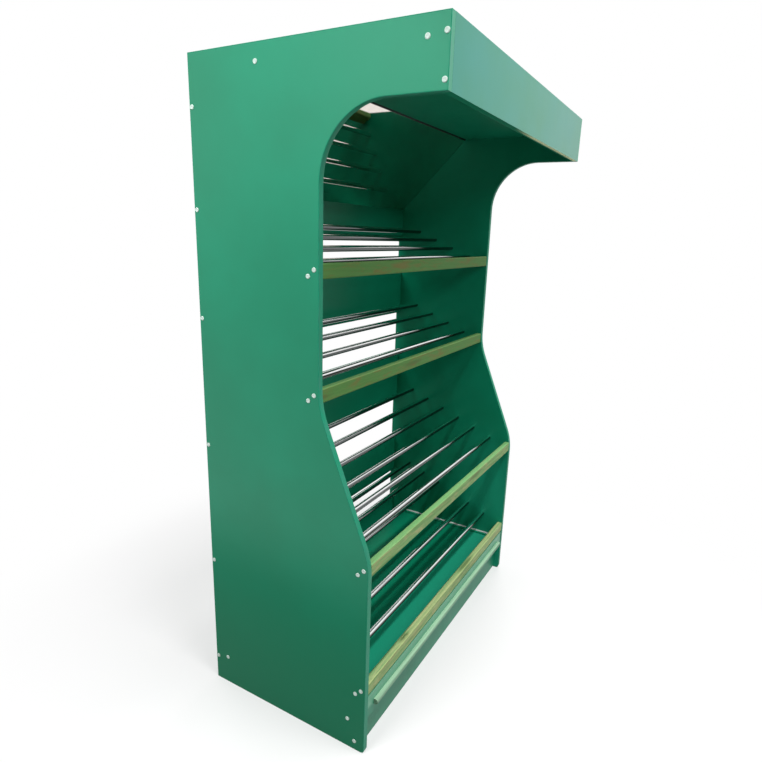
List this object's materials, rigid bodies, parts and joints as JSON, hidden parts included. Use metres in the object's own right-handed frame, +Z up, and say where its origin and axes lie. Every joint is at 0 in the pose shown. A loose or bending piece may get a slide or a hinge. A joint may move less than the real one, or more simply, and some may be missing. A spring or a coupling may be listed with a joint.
{
  "type": "produce display stand",
  "caption": "Free-standing shop stand with shaped side panels, sloping shelves of chrome tubes with front lips, a tilted mirror under a canopy and a shallow drawer",
  "frame": {"origin": "On the floor, under the middle of the stand's outline", "axes": "+Z up, -Y towards the shopper at the front, X along the shelves"},
  "size_m": [1.2, 0.76, 1.95],
  "materials": {
    "green_board": "satin green paint on board",
    "edge_band": "satin edge strip, slightly lighter than the board",
    "stained_batten": "green stain over planed timber",
    "tube": "polished chrome plate",
    "mirror": "silvered glass",
    "cap": "white moulded cap",
    "steel": "pale grey coat on pressed steel",
    "grip": "pale green stain on a planed bar"
  },
  "bodies": {
    "stand": {"side_panel_left": "green_board", "edge_band_left": "edge_band", "runner_left": "steel", "side_panel_right": "green_board", "edge_band_right": "edge_band", "runner_right": "steel", "fascia": "green_board", "roof_board": "green_board", "base_deck": "green_board", "plinth": "green_board", "back_board_1": "green_board", "back_board_2": "green_board", "back_board_3": "green_board", "back_board_4": "green_board", "back_board_5": "green_board", "back_board_6": "green_board", "lip_1": "stained_batten", "lip_2": "stained_batten", "lip_3": "stained_batten", "lip_4": "stained_batten", "tube_1_1": "tube", "tube_1_2": "tube", "tube_1_3": "tube", "tube_1_4": "tube", "tube_2_1": "tube", "tube_2_2": "tube", "tube_2_3": "tube", "tube_2_4": "tube", "tube_3_1": "tube", "tube_3_2": "tube", "tube_3_3": "tube", "tube_3_4": "tube", "tube_3_5": "tube", "tube_3_6": "tube", "tube_4_1": "tube", "tube_4_2": "tube", "tube_4_3": "tube", "tube_4_4": "tube", "tube_4_5": "tube", "tube_4_6": "tube", "mirror": "mirror"},
    "drawer": {"drawer_front": "green_board", "drawer_back": "green_board", "drawer_bottom": "green_board", "drawer_grip": "grip", "drawer_side_left": "green_board", "drawer_side_right": "green_board", "drawer_slide_left": "steel", "drawer_slide_right": "steel"}
  },
  "joints": [
    {"name": "drawer_slide", "type": "slide", "parent": "stand", "child": "drawer", "axis": [0, -1, 0], "range_m": [0, 0.375]}
  ]
}
